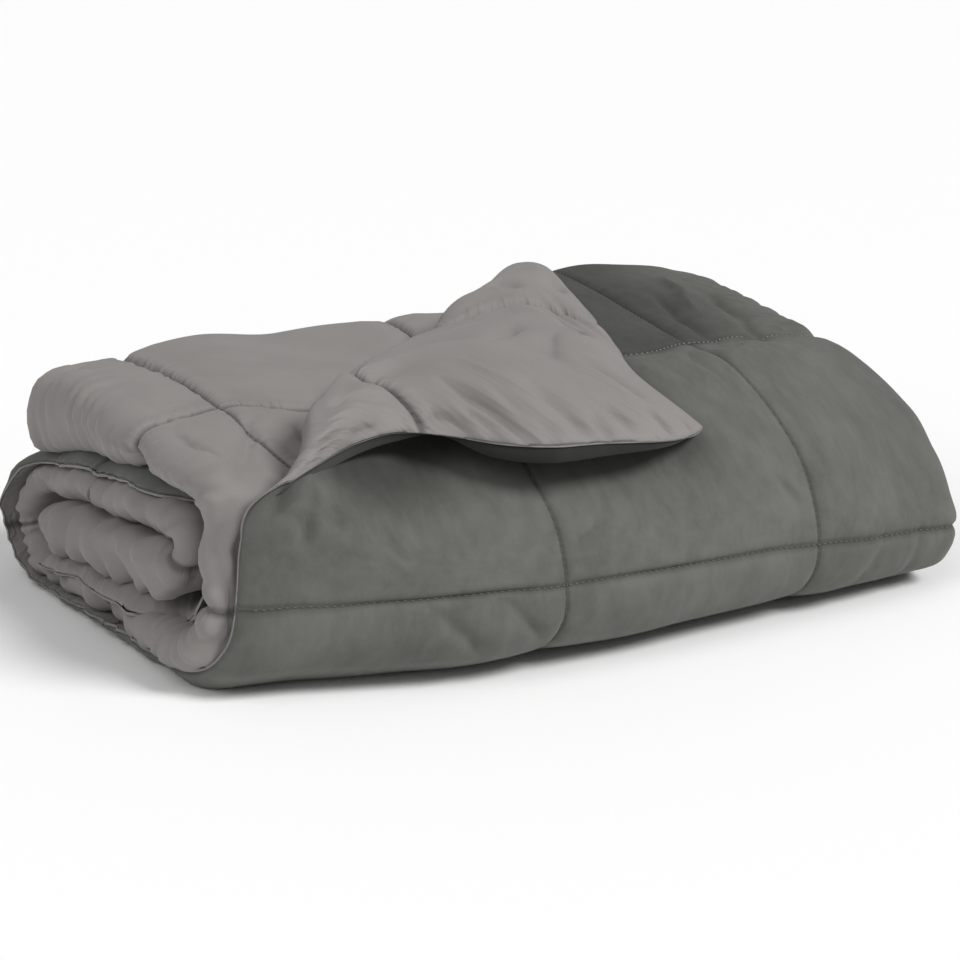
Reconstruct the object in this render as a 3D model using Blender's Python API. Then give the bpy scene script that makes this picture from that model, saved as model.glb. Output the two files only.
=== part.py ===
"""Folded reversible duvet.

One filled, box-quilted duvet.  It is folded in three across its width (a Z of
three plies), the long strip is wound flat into four levels, and the free
corner of the outer ply is turned back over the top.

The flat duvet is made first, as a thin slab cut along its stitch lines and
fold lines, and then every vertex is laid in its folded place.
Metres, +Z up.  The long side is along X, the rolled front faces -Y.
"""
import math

import bmesh
import bpy
from mathutils import Vector

NAME = "duvet"
NODE = "duvet"

# ---------------------------------------------------------------- flat duvet
LENGTH = 2.180                   # across the three plies
WIDTH = 1.925                    # along the wound strip, on its outer face
BOXES_LONG = 8
BOXES_WIDE = 7
BOX_S = LENGTH / BOXES_LONG      # quilting box, along s
BOX_V = WIDTH / BOXES_WIDE       # quilting box, along v
PLY_CROWN = 0.0167               # thickness inside a box
PLY_SEAM = 0.0035                # thickness on a stitch line or hem
CHANNEL = 0.030                  # half width of a stitch channel
MIN_STEP = 0.004                 # cut lines closer than this are one
CUT_SLACK = 1e-6                 # a corner this close to a cut is on it

# ------------------------------------------------------------- fold in three
PLY_PITCH = 0.0183               # between two ply centres
OUTER_WIDTH = 0.7165             # width of the outer ply
MIDDLE_WIDTH = 0.7370            # width of the middle ply, fold to fold
HEM_IN = MIDDLE_WIDTH - OUTER_WIDTH   # the outer hem sits in from the fold
STATIONS = 8                     # even cuts across the strip, same in every ply
FOLD_STEPS = 4                   # cuts round one ply fold

# ------------------------------------------------------------- wound strip
LEVEL = 0.0565                   # pitch of the four levels
HEM_BACK = 0.480                 # top end hem
FRONT_Y = 0.0607                 # middle of the strip where it runs down the front
CORNER = 0.054                   # radius of the two front corners
INNER_Y = 0.144                  # centre of the inner front turn
BACK_Y = 0.425                   # centre of the back turn
TURN_LENGTH = 0.5 * math.pi      # a quarter turn, per metre of radius
RUNS = (                         # the winding: (name, length, radius or none, cuts)
    ("top", HEM_BACK - FRONT_Y - CORNER, None, 5),
    ("shoulder", TURN_LENGTH * CORNER, CORNER, 3),
    ("front", 3.0 * LEVEL - 2.0 * CORNER, None, 1),
    ("foot", TURN_LENGTH * CORNER, CORNER, 3),
    ("bottom", BACK_Y - FRONT_Y - CORNER, None, 1),
    ("back", 2.0 * TURN_LENGTH * LEVEL, LEVEL, 5),
    ("second", BACK_Y - INNER_Y, None, 3),
    ("inner", TURN_LENGTH * LEVEL, 0.5 * LEVEL, 4),
    ("third", WIDTH, None, 0),
)

# ------------------------------------------------------- turned back corner
CREASE_S = 0.510                 # crease on the end hem
CREASE_V = 0.425                 # crease on the side hem
ROLL = 0.0105                    # radius of the turned back ply
ROLL_CUTS = 3
FLAP_RUCK = 1.00                 # the flap rucks up a little
FLAP_SKEW = 0.27                 # and is pulled along its crease
FLAP_LIFT = 0.010                # lift of its free corner
LIFT_FROM, LIFT_TO = 0.060, 0.260     # distance from the crease, for that lift
ARCH_FROM = 0.100                # the arch starts this far along the strip
ARCH_LIFT, ARCH_S, ARCH_SPREAD = 0.016, 0.180, 0.080   # its front hem arches

# ------------------------------------------------- how the bundle settles
BACK_RISE = 0.085                # share of height gained at the back
RISE_FROM, RISE_TO = 0.150, 0.500     # y where that starts and is full
DOME = 0.055                     # more of it near the right end
DOME_X, DOME_SPREAD = 0.620, 0.200
END_DROOP, DROOP_X, DROOP_SPREAD = 0.10, 0.520, 0.220
SINK = 0.022                     # the lower levels sink at the left back
SINK_FROM, SINK_TO = 0.200, 0.480     # y where that starts and is full
SINK_TOP = 0.25                  # share of it left at the very top
LEAN_LOW = 0.068                 # the front leans above this height
FRONT_FULL, FRONT_NONE = 0.030, 0.280   # how far back the front's shape is felt

# the front along the bundle
FRONT = (                        # (x, stands forward, leans back)
    (0.000, 0.000, -3.0), (0.290, 0.066, 4.0), (0.565, 0.054, 5.0), (0.740, 0.034, 7.2),
)
# the front is squarer near the floor
FOOT = (                         # (height, stands forward)
    (0.000, 0.034), (0.030, 0.022), (0.120, 0.000),
)

# the uneven left end: how far the strip stands out along its length
LEFT_EDGE = (                    # (place along v, offset in x)
    (0.000, 0.006), (0.040, -0.016), (0.150, -0.010), (0.360, 0.000), (0.500, 0.000),
    (0.600, -0.034), (0.740, -0.056), (0.900, -0.060), (1.080, -0.045),
    (1.250, -0.020), (1.340, -0.004), (1.400, -0.004), (1.500, -0.026), (1.700, -0.040),
)

MATERIALS = {                    # name: (base colour, roughness)
    "velvet": ((0.095, 0.100, 0.092), 0.85),
    "cotton": ((0.235, 0.215, 0.205), 0.78),
}


# ------------------------------------------------------------- small helpers
def smooth(value, low, high):
    """0 below low, 1 above high, an even S between."""
    t = min(1.0, max(0.0, (value - low) / (high - low)))
    return t * t * (3.0 - 2.0 * t)


def table_value(table, place, column=1):
    """Smooth run through a short table whose first column is the place."""
    for here, after in zip(table, table[1:]):
        if place <= after[0]:
            share = smooth(place, here[0], after[0])
            return here[column] + (after[column] - here[column]) * share
    return table[-1][column]


def seam_share(distance):
    """0 on a stitch line, 1 past the channel."""
    return min(1.0, distance / CHANNEL)


def ply_thickness(s, v):
    """Thickness of the filled cloth at one place of the flat duvet."""
    ds = abs((s + 0.5 * BOX_S) % BOX_S - 0.5 * BOX_S)
    dv = min(abs(v - line) for line in SEAMS_V)
    share = min(seam_share(ds), seam_share(dv))
    return PLY_SEAM + (PLY_CROWN - PLY_SEAM) * share


# --------------------------------------------------------------- the folds
OUTER_FACE = PLY_PITCH + 0.5 * PLY_CROWN


def lay_runs():
    """Start of every run: place along v, y, z and the way it heads."""
    starts = []
    v, y, z, angle = 0.0, HEM_BACK, 3.5 * LEVEL, 0.0
    for name, length, radius, _ in RUNS:
        starts.append((v, y, z, angle, radius))
        v += length
        if radius is None:
            y -= length * math.cos(angle)
            z -= length * math.sin(angle)
        else:
            after = angle + length / radius
            y += radius * (math.sin(angle) - math.sin(after))
            z += radius * (math.cos(after) - math.cos(angle))
            angle = after
    return starts


STARTS = lay_runs()


def wind(v, n):
    """Place along the strip and height over its middle -> y, z."""
    start, y, z, angle, radius = STARTS[0]
    for run in STARTS:
        if v >= run[0]:
            start, y, z, angle, radius = run
    d = v - start
    if radius is None:
        y -= d * math.cos(angle)
        z -= d * math.sin(angle)
    else:
        after = angle + d / radius
        y += radius * (math.sin(angle) - math.sin(after))
        z += radius * (math.cos(after) - math.cos(angle))
        angle = after
    return y - n * math.sin(angle), z + n * math.cos(angle)


def along_strip(cloth):
    """Length of cloth on the outer face, from the top hem -> place along the strip."""
    for (start, _, _, _, radius), (_, length, _, _) in zip(STARTS, RUNS):
        stretch = (radius + OUTER_FACE) / radius if radius else 1.0
        if cloth <= length * stretch:
            return start + cloth / stretch
        cloth -= length * stretch


SEAMS_V = [along_strip(i * BOX_V) for i in range(BOXES_WIDE + 1)]
STRIP_END = SEAMS_V[-1]


def fold_in_three(s, w):
    """Place across the duvet, height over its middle -> x, height in the strip.

    The outer ply lies highest.  w counts towards the velvet side.
    """
    r = 0.5 * PLY_PITCH
    half = 0.5 * math.pi * r
    first, second = OUTER_WIDTH, OUTER_WIDTH + MIDDLE_WIDTH
    for edge, side, x_edge in ((first, 1.0, MIDDLE_WIDTH), (second, -1.0, 0.0)):
        d = s - edge
        if abs(d) < half:
            a = 0.5 * math.pi + d / r
            reach = r + side * w
            x = x_edge - side * half
            return x + side * reach * math.sin(a), side * r + reach * math.cos(a)
    if s < first:
        return HEM_IN + s, PLY_PITCH + w
    if s < second:
        return second - s, -w
    return s - second, -PLY_PITCH + w


def turn_back(s, v, w):
    """Roll the corner of the outer ply over its crease."""
    hyp = math.hypot(CREASE_S, CREASE_V)
    ms, mv = -CREASE_V / hyp, -CREASE_S / hyp
    d = (1.0 - s / CREASE_S - v / CREASE_V) * CREASE_S * CREASE_V / hyp
    if d <= 0.0 or s > OUTER_WIDTH:
        return s, v, w
    foot_s, foot_v = s - d * ms, v - d * mv
    arc = math.pi * ROLL
    if d < arc:
        a = d / ROLL
        along = (ROLL - w) * math.sin(a)
        lift = ROLL - (ROLL - w) * math.cos(a)
    else:
        free = (d - arc) * FLAP_RUCK
        along = -free
        foot_s -= FLAP_SKEW * free * mv
        foot_v += FLAP_SKEW * free * ms
        hem = smooth(foot_v + along * mv, ARCH_FROM, CREASE_V)
        arch = math.exp(-((foot_s + along * ms - ARCH_S) / ARCH_SPREAD) ** 2)
        lift = 2.0 * ROLL - w + FLAP_LIFT * smooth(free, LIFT_FROM, LIFT_TO)
        lift += ARCH_LIFT * arch * hem * smooth(free, 0.0, ARCH_FROM)
    return foot_s + along * ms, foot_v + along * mv, lift


def settle(x, y, z, v):
    """The slump of the whole bundle."""
    away = 1.0 - min(1.0, max(0.0, x / MIDDLE_WIDTH))
    ahead = min(1.0, max(0.0, (FRONT_NONE - y) / (FRONT_NONE - FRONT_FULL)))
    lean = table_value(FRONT, x, 2) * max(0.0, z - LEAN_LOW) ** 2
    front = lean - table_value(FRONT, x, 1) - table_value(FOOT, z)
    dome = math.exp(-((x - DOME_X) / DOME_SPREAD) ** 2)
    rise = 1.0 + (BACK_RISE + DOME * dome) * smooth(y, RISE_FROM, RISE_TO)
    rise *= 1.0 - END_DROOP * max(0.0, (x - DROOP_X) / DROOP_SPREAD) ** 2
    under_top = 3.0 * LEVEL
    if z < under_top:
        sunk = z / under_top
    else:
        sunk = 1.0 - (1.0 - SINK_TOP) * (z - under_top) / LEVEL
    sink = SINK * sunk * smooth(y, SINK_FROM, SINK_TO) * away ** 2
    left = table_value(LEFT_EDGE, v) * away ** 2
    return x + left, y + front * ahead, z * rise - sink


def place(s, v, w):
    """Flat duvet -> folded duvet."""
    s2, v2, w2 = turn_back(s, v, w)
    x, n = fold_in_three(s2, w2)
    y, z = wind(v2, n)
    floor = 0.5 * LEVEL - PLY_PITCH - 0.5 * PLY_CROWN
    return settle(x, y, z - floor, v2)


# ---------------------------------------------------------------- the solid
def lines_along(seams, extra):
    """All the cut lines of one direction: stitch lines, channels and bends."""
    cuts = []
    for seam in seams:
        cuts += [seam - CHANNEL, seam, seam + CHANNEL]
    for value in extra:
        if all(abs(value - c) > MIN_STEP for c in cuts):
            cuts.append(value)
    return sorted(c for c in cuts if seams[0] < c < seams[-1])


def lines_across():
    """Cut lines along s: stitch lines, even stations and the two ply folds."""
    quarter = 0.25 * math.pi * PLY_PITCH
    second = OUTER_WIDTH + MIDDLE_WIDTH
    extra = []
    for edge in (OUTER_WIDTH, second):
        extra += [edge + quarter * (2.0 * i / FOLD_STEPS - 1.0) for i in range(FOLD_STEPS + 1)]
    for i in range(1, STATIONS):
        x = MIDDLE_WIDTH * i / STATIONS
        extra += [x - HEM_IN, second - x, second + x]
    return lines_along([i * BOX_S for i in range(BOXES_LONG + 1)], extra)


def lines_down():
    """Cut lines along v: stitch lines and the bends of the winding."""
    extra = []
    for (start, _, _, _, _), (_, length, _, cuts) in zip(STARTS, RUNS):
        extra += [start + length * i / cuts for i in range(cuts)]
    return lines_along(SEAMS_V, extra)


def cut(bm, faces, point, normal):
    """Cut the given faces along one plane."""
    parts = set(faces)
    for face in faces:
        parts.update(face.edges)
        parts.update(face.verts)
    bmesh.ops.bisect_plane(bm, geom=list(parts), dist=CUT_SLACK, plane_co=point, plane_no=normal)


def cut_slab():
    """The flat duvet, cut along every line that it is stitched or bent on."""
    bm = bmesh.new()
    bmesh.ops.create_cube(bm, size=1.0)
    for vert in bm.verts:
        vert.co = ((vert.co.x + 0.5) * LENGTH, (vert.co.y + 0.5) * STRIP_END, vert.co.z)
    for s in lines_across():
        cut(bm, bm.faces[:], (s, 0.0, 0.0), (1.0, 0.0, 0.0))
    for v in lines_down():
        cut(bm, bm.faces[:], (0.0, v, 0.0), (0.0, 1.0, 0.0))
    hyp = math.hypot(CREASE_S, CREASE_V)
    for i in range(ROLL_CUTS + 1):
        d = math.pi * ROLL * i / ROLL_CUTS
        s = CREASE_S - d * hyp / CREASE_V
        outer = [f for f in bm.faces if f.calc_center_median().x < CREASE_S]
        cut(bm, outer, (s, 0.0, 0.0), (CREASE_V, CREASE_S, 0.0))
    bmesh.ops.triangulate(bm, faces=bm.faces[:])
    return bm


def build_duvet(collection):
    """Cut the slab, lay it in its folds and stand it on its own middle."""
    bm = cut_slab()
    for face in bm.faces:
        face.material_index = 0 if face.normal.z > 0.5 else 1
    for vert in bm.verts:
        s, v, side = vert.co
        vert.co = place(s, v, ply_thickness(s, v) * side)
    bmesh.ops.reverse_faces(bm, faces=bm.faces[:])
    low = [min(vert.co[k] for vert in bm.verts) for k in range(3)]
    high = [max(vert.co[k] for vert in bm.verts) for k in range(3)]
    middle = Vector((0.5 * (low[0] + high[0]), 0.5 * (low[1] + high[1]), low[2]))
    bmesh.ops.translate(bm, vec=-middle, verts=bm.verts[:])
    mesh = bpy.data.meshes.new(NODE)
    bm.to_mesh(mesh)
    bm.free()
    for name in MATERIALS:
        mesh.materials.append(make_material(name))
    piece = bpy.data.objects.new(NODE, mesh)
    collection.objects.link(piece)


def make_material(name):
    colour, roughness = MATERIALS[name]
    material = bpy.data.materials.new(name)
    material.use_nodes = True
    shader = material.node_tree.nodes["Principled BSDF"]
    shader.inputs["Base Color"].default_value = (*colour, 1.0)
    shader.inputs["Roughness"].default_value = roughness
    shader.inputs["Metallic"].default_value = 0.0
    material.diffuse_color = (*colour, 1.0)
    return material


def main():
    for item in list(bpy.data.objects):
        bpy.data.objects.remove(item, do_unlink=True)
    collection = bpy.data.collections.new(NAME)
    bpy.context.scene.collection.children.link(collection)
    build_duvet(collection)


main()
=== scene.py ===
"""Looks of the folded duvet.

The duvet is one filled, box-quilted cloth: dark velvet on one face, smooth
taupe cotton on the other.  Five pieces are stretches of that one cloth, cut
apart only on stitch lines.  Each is made flat, on a fine grid, with its
puffed boxes, puckers and creases, and is then laid in the same folds as the
CAD solid.  Three more pieces are the threads of the stitch lines that show.
s runs across the three plies, v along the wound strip, and w is the height
over the middle of the cloth, towards the velvet.  A window of four numbers
says where an effect begins, is full, begins to fade and is gone.
"""
import math

import bpy
import numpy as np
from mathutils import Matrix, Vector


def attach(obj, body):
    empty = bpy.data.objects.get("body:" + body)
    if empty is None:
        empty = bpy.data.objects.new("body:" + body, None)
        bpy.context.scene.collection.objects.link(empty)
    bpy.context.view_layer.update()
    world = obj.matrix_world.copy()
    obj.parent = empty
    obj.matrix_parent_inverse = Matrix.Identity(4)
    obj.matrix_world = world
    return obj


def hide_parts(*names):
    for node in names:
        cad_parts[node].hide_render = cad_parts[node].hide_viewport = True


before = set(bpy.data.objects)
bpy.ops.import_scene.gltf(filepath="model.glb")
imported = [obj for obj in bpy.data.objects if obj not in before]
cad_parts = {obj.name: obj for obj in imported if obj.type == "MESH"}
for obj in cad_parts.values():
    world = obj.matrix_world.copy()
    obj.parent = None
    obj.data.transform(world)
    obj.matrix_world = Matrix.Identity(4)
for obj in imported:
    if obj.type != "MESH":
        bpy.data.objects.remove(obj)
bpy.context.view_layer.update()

# ---------------------------------------------------------------- flat duvet
LENGTH = 2.180  # across the three plies
BOX_S = LENGTH / 8  # quilting box, along s
BOX_V = 0.275  # quilting box, along the outer face of the strip
WIDTH = 7 * BOX_V  # along that face
PLY_CROWN = 0.0170  # thickness inside a box
PLY_SEAM = 0.0022  # thickness on a stitch line or hem
THINNEST = 0.0010  # no crease or pucker presses a face closer to the middle
PILLOW = 0.085  # a box reaches its full height this far in
PILLOW_POWER = 2.6  # how soon it is nearly there
NIP, NIP_POWER = 0.010, 2.2  # narrow drawn-in band beside the stitches
NIP_SHARE_VELVET, NIP_SHARE_COTTON = 0.36, 0.52  # its part of the height

# --------------------------------------------- folds, as in the CAD solid
PLY_PITCH = 0.0183  # from ply to ply
CAD_CROWN = 0.0167  # thickness of the CAD solid inside a box
OUTER_WIDTH = 0.7165  # outer ply, from its side hem to the right fold
MIDDLE_WIDTH = 0.7370  # middle ply, from the right fold to the left one
LEFT_FOLD = OUTER_WIDTH + MIDDLE_WIDTH
HEM_IN = MIDDLE_WIDTH - OUTER_WIDTH  # the outer side hem lies this far in
OUTER_FACE = PLY_PITCH + 0.5 * CAD_CROWN  # from the middle of the strip to its outer face
LEVEL = 0.0565  # height of one wound level
UNDER_TOP = 3.0 * LEVEL  # the top level lies on this
HEM_BACK = 0.480  # y of the top hem, where the winding starts
FRONT_Y, CORNER = 0.0607, 0.054  # the thick front fold and the radius of its corners
BACK_Y, INNER_Y = 0.425, 0.144  # the back fold, and the inner one
HALF_TURN = math.pi
RUNS = (  # (length, radius or none)
    (HEM_BACK - FRONT_Y - CORNER, None),
    (0.5 * HALF_TURN * CORNER, CORNER),
    (UNDER_TOP - 2.0 * CORNER, None),
    (0.5 * HALF_TURN * CORNER, CORNER),
    (BACK_Y - FRONT_Y - CORNER, None),
    (HALF_TURN * LEVEL, LEVEL),
    (BACK_Y - INNER_Y, None),
    (HALF_TURN * 0.5 * LEVEL, 0.5 * LEVEL),
    (WIDTH, None),
)
INNER_STRETCH = 0.22  # the loose inner end lies a little further back
MIDDLE = (0.33853, 0.23345)  # the folded duvet stands on its own middle

# the flap: the turned-back corner
CREASE_S, CREASE_V = 0.520, 0.450  # its crease runs between these places
ROLL_FRONT, ROLL_BACK = 0.0085, 0.0060  # radius of the crease at its two ends
CREASE_EASE = 0.06  # what belongs to the flap grows in over this
SQUEEZE, SQUEEZE_REACH = 0.48, 0.045  # the cloth is pressed thin round the crease
SQUEEZE_WIDER = (0.10, 0.20)  # twice as far beyond this v
FLAP_SKEW = 0.27  # it is dragged along the crease as it turns
FLAP_LIFT, LIFT_FROM, LIFT_TO = 0.004, 0.060, 0.260  # and stands off a little
BACK_HEM_LANDS = (  # back hem of the flap: (s, lies over s, lies over v)
    (0.000, 0.450, 0.424), (0.070, 0.428, 0.384), (0.180, 0.451, 0.284),
    (0.270, 0.476, 0.202), (0.350, 0.502, 0.112), (0.430, 0.526, 0.042), (0.520, 0.522, 0.016),
)
BACK_HEM_FELT = 0.260  # this far into the flap
FRONT_HEM = (  # front hem of the flap: (v, x, y, height)
    (0.000, 0.474, 0.038, 0.183), (0.080, 0.402, -0.004, 0.193), (0.140, 0.338, -0.004, 0.200),
    (0.195, 0.285, 0.004, 0.203), (0.235, 0.254, 0.032, 0.203), (0.275, 0.222, 0.068, 0.206),
    (0.310, 0.187, 0.086, 0.209), (0.350, 0.141, 0.074, 0.209), (0.400, 0.075, 0.031, 0.205),
    (0.430, 0.036, 0.009, 0.199), (0.450, 0.016, 0.014, 0.190),
)
FRONT_HEM_FELT, FRONT_HEM_LEAST = 0.150, 0.020  # this far into the flap, less by the crease
FLAP_DRIFT_S = ((0.000, 0.014), (0.070, 0.048))  # its stitch lines drift: (v, drift)
FLAP_DRIFT_V = ((0.000, 0.018), (0.110, 0.034))  # (s, drift)
DRIFT_WINDOW_S = (0.10, BOX_S, BOX_S, 0.46)
DRIFT_WINDOW_V = (0.11, BOX_V, BOX_V, 0.44)
DRIFT_EASE = 0.05
PANEL_SHIFT = 0.012  # and so does one of the panel's, at its back end
SHIFT_WINDOW, SHIFT_END = (1.20, 1.34, 1.38, 1.45), 0.25
TIP_BLUNT, TIP_REACH = 0.004, 0.022  # the corner is rounded

# how the bundle settles
BACK_RISE, RISE_FROM, RISE_TO = 0.085, 0.150, 0.500  # it stands higher towards the back
DOME, DOME_X, DOME_SPREAD = 0.055, 0.620, 0.200  # most of all here
END_DROOP, DROOP_X, DROOP_SPREAD = 0.11, 0.470, 0.250  # and lower at the right end
SINK, SINK_FROM, SINK_TO = 0.022, 0.200, 0.480  # the left end sinks towards the back
SINK_TOP = 0.25  # its top face by this share
END_SWELL, END_FROM = 0.014, 0.600  # the right end swells beyond the fold
END_HEIGHT = (  # (height, share)
    (0.020, 0.2), (0.075, 0.5), (0.110, 0.1), (0.145, 0.2), (0.180, 0.9), (0.200, 1.0), (0.300, 0.3),
)
SAGS = (  # front shoulder by the flap: (x, spread, depth, full at y, none at y)
    (0.165, 0.110, 0.020, 0.110, 0.230), (0.330, 0.110, 0.014, 0.060, 0.150),
)
HOLLOW = (0.178, 0.062, 0.026, 0.075, 0.130)  # the same, under the left half of the flap
HOLLOW_V = (0.30, 0.36)  # felt by the cloth beyond this v
DIPS = (  # where the flap weighs on its crease: (x, y, spread, depth)
    (0.250, 0.230, 0.085, 0.009), (0.345, 0.312, 0.060, 0.010),
)
CORNER_DROOP, CORNER_X = 0.018, 0.075  # the back corner of the left end droops
CORNER_Y, CORNER_Z = (0.34, 0.50), (0.12, 0.17)
PANEL_DRIFT = (  # (s, drift of the stitch line on the bare panel)
    (1.000, 0.000), (1.200, -0.010), (1.300, -0.016), (1.360, -0.048), (1.405, -0.030), (1.450, -0.014),
)
DRIFT = (  # (s, drift of the front stitch line, of the top one)
    (0.000, 0.005, 0.000), (0.060, 0.003, 0.000), (0.170, -0.012, 0.000),
    (0.270, -0.004, 0.000), (0.480, 0.003, 0.050),
    (0.545, 0.005, 0.022), (0.620, 0.008, 0.004), (0.716, 0.010, 0.000),
)
DRIFT_FROM = 0.425  # the crease of the corner does not drift
FRONT_FULL, FRONT_NONE = 0.030, 0.280  # y where the shape of the front is felt
LEAN_LOW = 0.068  # it leans back above this height
FRONT = (  # (x, stands forward, leans back)
    (0.000, 0.000, -3.0), (0.290, 0.066, 4.0), (0.565, 0.054, 5.0), (0.740, 0.034, 7.2),
)
FOOT = (  # (height, stands forward)
    (0.000, -0.012), (0.030, 0.002), (0.120, 0.000),
)
LEFT_EDGE = (  # (place along v, offset in x)
    (0.000, 0.008), (0.040, -0.014), (0.150, -0.006), (0.300, 0.000), (0.500, 0.000),
    (0.600, -0.016), (0.740, -0.019), (0.900, -0.021), (1.000, -0.023), (1.080, -0.012),
    (1.250, -0.012), (1.340, -0.004), (1.400, -0.004), (1.500, -0.022), (1.700, -0.028),
)
EDGE_POWERS, EDGE_V = (8.0, 2.0), (0.30, 0.60)  # how steeply it fades inwards, and where that changes
HEM_OUT = (  # (place along v, how far the side hem stands out)
    (0.480, 0.000), (0.600, 0.012), (0.740, 0.026), (0.900, 0.030), (1.000, 0.034),
    (1.090, 0.022), (1.300, 0.018), (1.390, 0.000), (1.450, 0.000), (1.500, 0.022), (1.680, 0.026),
)
HEM_OUT_REACH = 0.060
TILT_ALONG = (  # left end, levels tilt: (y, rise, sink)
    (-0.050, 0.020, 0.000), (0.100, 0.020, 0.000), (0.200, 0.008, 0.000),
    (0.300, 0.000, 0.005), (0.420, 0.000, 0.018),
)
TILT_SHARE = (  # (height, share of the rise, share of the sink)
    (0.000, 0.0, 0.0), (0.020, 0.1, 0.5), (0.055, 0.1, 1.0), (0.090, 0.7, 0.9),
    (0.120, 1.0, 0.9), (0.160, 0.8, 0.8), (0.210, 0.0, 0.0),
)
HEM_DROOP, HEM_DROOP_SPREAD, HEM_DROOP_V = 0.012, 0.090, (1.40, 1.47)  # the innermost side hem hangs down
RUFFLE, RUFFLE_WAVE, RUFFLE_TALL = 0.008, 0.075, 0.05  # uneven left end
RUFFLE_FINE, RUFFLE_FINE_WAVE, RUFFLE_FINE_TALL = 0.005, 0.026, 0.04
RUFFLED = ((0.30, 0.4), (0.40, 0.0), (0.55, 0.0), (0.65, 1.0))  # (v, share)

# ------------------------------------------------------------ fine shape
FLAP_PUFF, PANEL_PUFF = 0.0110, 0.0040  # the turned-back cotton is looser still
FREE_CROWN = 0.0045  # how much further a box swells where nothing lies on it
DRAWN = 0.0018  # a bare face is drawn in less than a covered one
SHALLOW, SHALLOW_REACH, SHALLOW_S = 0.0030, 0.030, (0.25, 0.32)  # the upper velvet line is hardly drawn in
BARE_EASE_FLAP, BARE_EASE_PANEL = 0.04, 0.08  # how soon cloth is bare beyond the crease
RIGHT_EASE = (0.01, 0.04)  # and how soon it is covered beyond the right fold
OUTSIDE_V = 1.08  # the outside of the bundle ends here
PACKED = (1.00, 1.10, 1.38, 1.45)  # the left fold is packed tight here
PUCKER_VELVET, PUCKER_COTTON = 0.0014, 0.0036  # height of the puckers beside a stitch line
PUCKER_WAVE = 0.014  # and their width
PUCKER_REACH = 0.017  # and how far they run into the box
ROLLING, ROLLING_WAVE = 0.0026, 0.085  # slow unevenness of the filling
GATHER, GATHER_WAVE = 0.0044, 0.023  # upright gathers on the folded edge
GATHER_REACH, GATHER_TALL = 0.034, 0.07
GATHERED = (  # (v, share)
    (0.30, 0.8), (0.50, 1.0), (0.60, 1.0), (0.70, 1.6), (0.95, 1.6), (1.05, 1.0), (1.38, 1.0), (1.45, 1.8),
)
GATHER_SWAY, GATHER_SWAY_V, GATHER_SWAY_S = 0.8, 0.09, 0.05
GATHER_LEAN, GATHER_LEAN_V = 22.0, (0.40, 0.60)  # they lean on the top level
FOLD_FREE = 0.25  # the folded edge is a little looser than the covered cloth
SCALLOP, SCALLOP_WAVE, SCALLOP_TALL = 0.0060, 0.030, 0.09  # of the right fold
SCALLOP_REACH, SCALLOP_V = 0.040, (0.24, 0.30)
HEM_TUCK, HEM_REACH = 0.008, 0.010  # the side hem is drawn in towards the cotton
TUCK_BACK, TUCK_BACK_V = 1.9, (1.36, 1.43)  # the other way on the innermost levels
HEM_ROUND_VELVET, HEM_ROUND_COTTON = 0.022, 0.045
PINCH, PINCH_V, PINCH_WIDTH = 0.75, 0.264, 0.020  # where a stitch line pinches the front hem
EDGE_SWELL = 0.021  # the velvet swells out past the front hem of the flap
SWELL_V, SWELL_S = (-0.03, 0.06, 0.40, 0.45), (-0.001, 0.006, 0.010, 0.060)
HEM_DROP, HEM_DROP_REACH = 0.010, 0.030  # the back hem of the flap lies down on the velvet
HEM_DROP_EASE = 0.02
PANEL_LOW = 0.007  # the middle box of the panel's back row lies lower
PANEL_LOW_S = (0.14, 0.22, 0.32, 0.38)
PANEL_SINK, PANEL_SINK_S = 0.013, (0.31, 0.42)  # the bare panel sinks behind the flap
PANEL_V = (0.10, 0.24)  # both end here

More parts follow.
